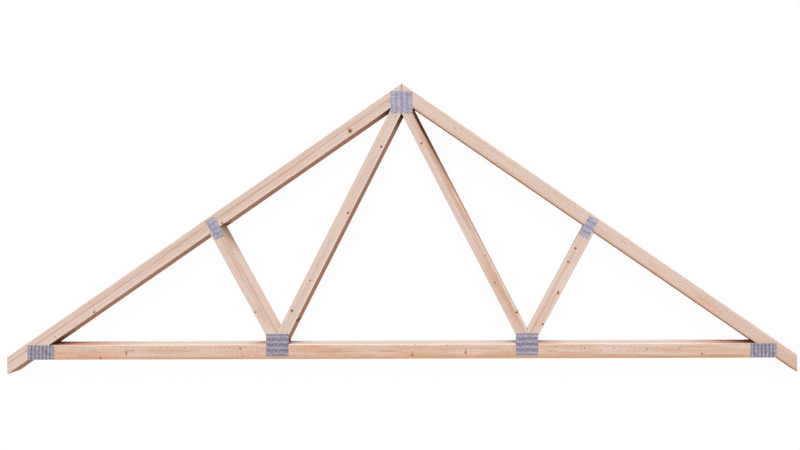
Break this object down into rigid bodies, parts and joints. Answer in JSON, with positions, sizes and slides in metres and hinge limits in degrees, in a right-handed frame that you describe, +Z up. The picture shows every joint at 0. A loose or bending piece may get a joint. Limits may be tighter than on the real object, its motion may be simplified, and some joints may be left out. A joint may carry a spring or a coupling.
{
  "type": "wooden roof truss",
  "caption": "W-shaped softwood roof truss: sloping top chords with plumb-cut tails, a bottom chord and webs, joined by pressed steel nail plates; spans between walls and carries a pitched roof",
  "frame": {"origin": "on the floor, under the middle of the truss's bounding box as it lies flat on its back plates", "axes": "+X along the span to the right heel, +Y from the bottom chord towards the ridge, +Z up through the thickness to the front face"},
  "size_m": [4.008, 1.4698, 0.049],
  "materials": {
    "planed_softwood": "planed, unfinished",
    "galvanised_steel": "dull galvanised"
  },
  "bodies": {
    "root": {"apex_plate_back": "galvanised_steel", "apex_plate_front": "galvanised_steel", "bottom_chord": "planed_softwood", "foot_plate_left_back": "galvanised_steel", "foot_plate_left_front": "galvanised_steel", "foot_plate_right_back": "galvanised_steel", "foot_plate_right_front": "galvanised_steel", "heel_plate_left_back": "galvanised_steel", "heel_plate_left_front": "galvanised_steel", "heel_plate_right_back": "galvanised_steel", "heel_plate_right_front": "galvanised_steel", "inner_web_left": "planed_softwood", "inner_web_right": "planed_softwood", "mid_plate_left_back": "galvanised_steel", "mid_plate_left_front": "galvanised_steel", "mid_plate_right_back": "galvanised_steel", "mid_plate_right_front": "galvanised_steel", "outer_web_left": "planed_softwood", "outer_web_right": "planed_softwood", "top_chord_left": "planed_softwood", "top_chord_right": "planed_softwood"}
  },
  "joints": []
}
